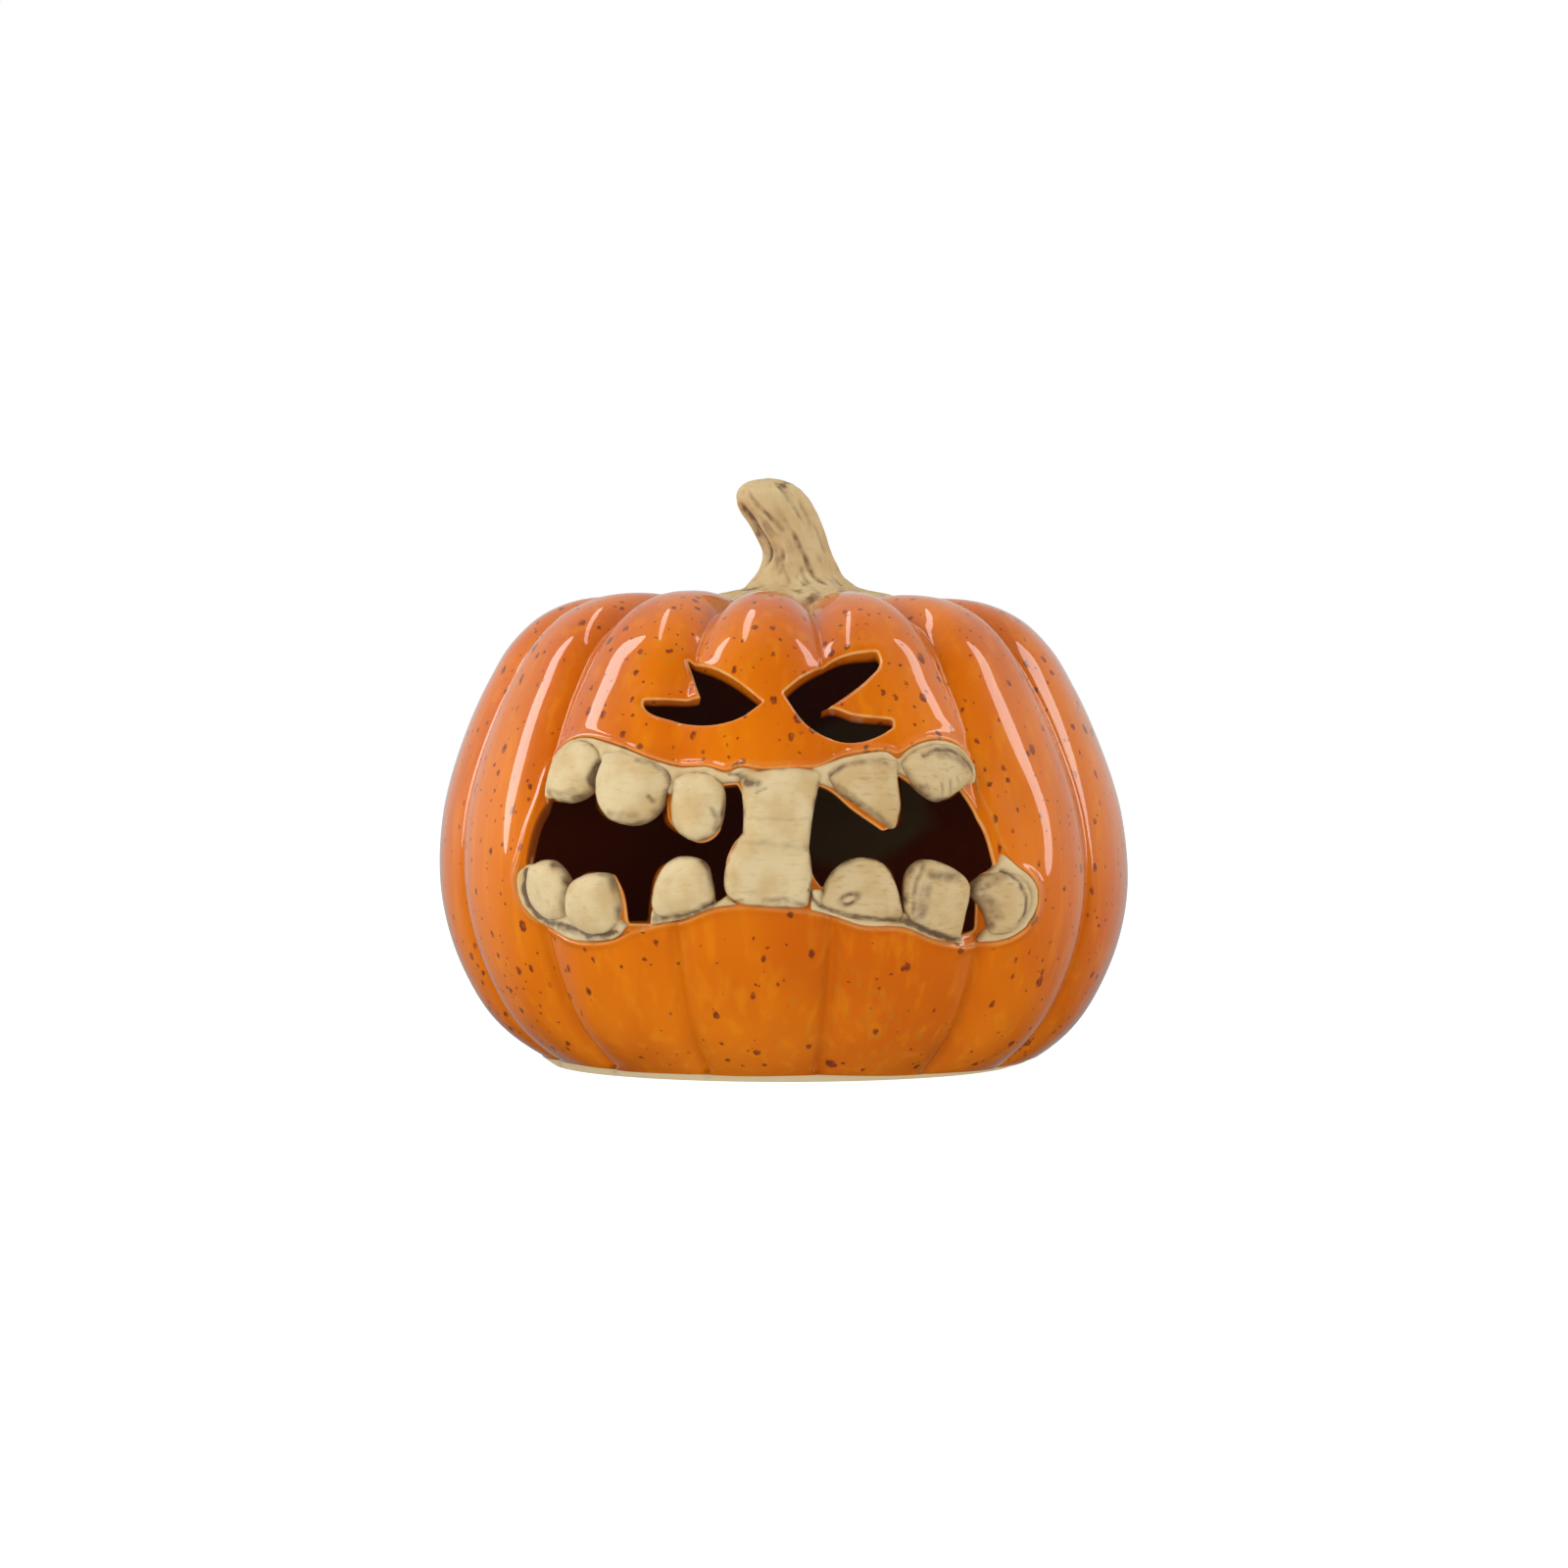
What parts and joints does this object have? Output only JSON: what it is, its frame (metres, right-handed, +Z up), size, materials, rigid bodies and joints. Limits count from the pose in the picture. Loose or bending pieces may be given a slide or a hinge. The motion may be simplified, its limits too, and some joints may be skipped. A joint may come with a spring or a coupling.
{
  "type": "pumpkin lantern",
  "caption": "Glazed pumpkin lantern with a cut grimacing face, raised clay teeth and a curved stem, standing over a small battery tealight.",
  "frame": {"origin": "on the table under the middle of the overall box, which is the axis of the foot and of the light", "axes": "+X to the right of someone facing the lantern, +Y from the face to the back, +Z up"},
  "size_m": [0.2296, 0.2389, 0.1962],
  "materials": {
    "orange_glaze": "glossy orange glaze with brown speckles",
    "stem_clay": "matte cream with brown wash in the grooves",
    "tooth_clay": "matte cream with brown wash round the roots",
    "gum_clay": "matte cream with dark wash in the crevices",
    "white_plastic": "moulded ivory plastic",
    "flame_plastic": "translucent amber plastic",
    "led_epoxy": "clear yellow epoxy with tinned leads",
    "steel": "nickel-plated steel",
    "brass_strip": "sprung brass strip",
    "black_plastic": "moulded black plastic"
  },
  "bodies": {
    "light": {"light_housing": "white_plastic", "flame": "flame_plastic", "led": "led_epoxy", "base_plate": "white_plastic", "coin_cell": "steel", "positive_contact": "brass_strip", "negative_contact": "brass_strip"},
    "pumpkin": {"pumpkin_shell": "orange_glaze", "stem": "stem_clay", "upper_left_tooth_1": "tooth_clay", "upper_left_tooth_2": "tooth_clay", "upper_left_tooth_3": "tooth_clay", "upper_right_tooth_1": "tooth_clay", "upper_right_tooth_2": "tooth_clay", "centre_upper_tooth": "tooth_clay", "centre_lower_tooth": "tooth_clay", "lower_left_tooth_1": "tooth_clay", "lower_left_tooth_2": "tooth_clay", "lower_left_tooth_3": "tooth_clay", "lower_right_tooth_1": "tooth_clay", "lower_right_tooth_2": "tooth_clay", "lower_right_tooth_3": "tooth_clay", "upper_left_gum": "gum_clay", "upper_right_gum": "gum_clay", "lower_left_gum": "gum_clay", "lower_centre_gum": "gum_clay", "lower_right_gum": "gum_clay", "right_corner_gum": "gum_clay"},
    "battery_door": {"battery_door": "white_plastic"},
    "switch": {"switch_slider": "black_plastic"}
  },
  "joints": [
    {"name": "pumpkin_lift", "type": "slide", "parent": "light", "child": "pumpkin", "axis": [0, 0, 1], "range_m": [0, 0.08]},
    {"name": "battery_door_hinge", "type": "hinge", "parent": "light", "child": "battery_door", "pos_m": [0, 0.013, 0.0015], "axis": [1, 0, 0], "range_deg": [0, 95]},
    {"name": "switch_slide", "type": "slide", "parent": "light", "child": "switch", "axis": [0, 1, 0], "range_m": [0, 0.003]}
  ]
}
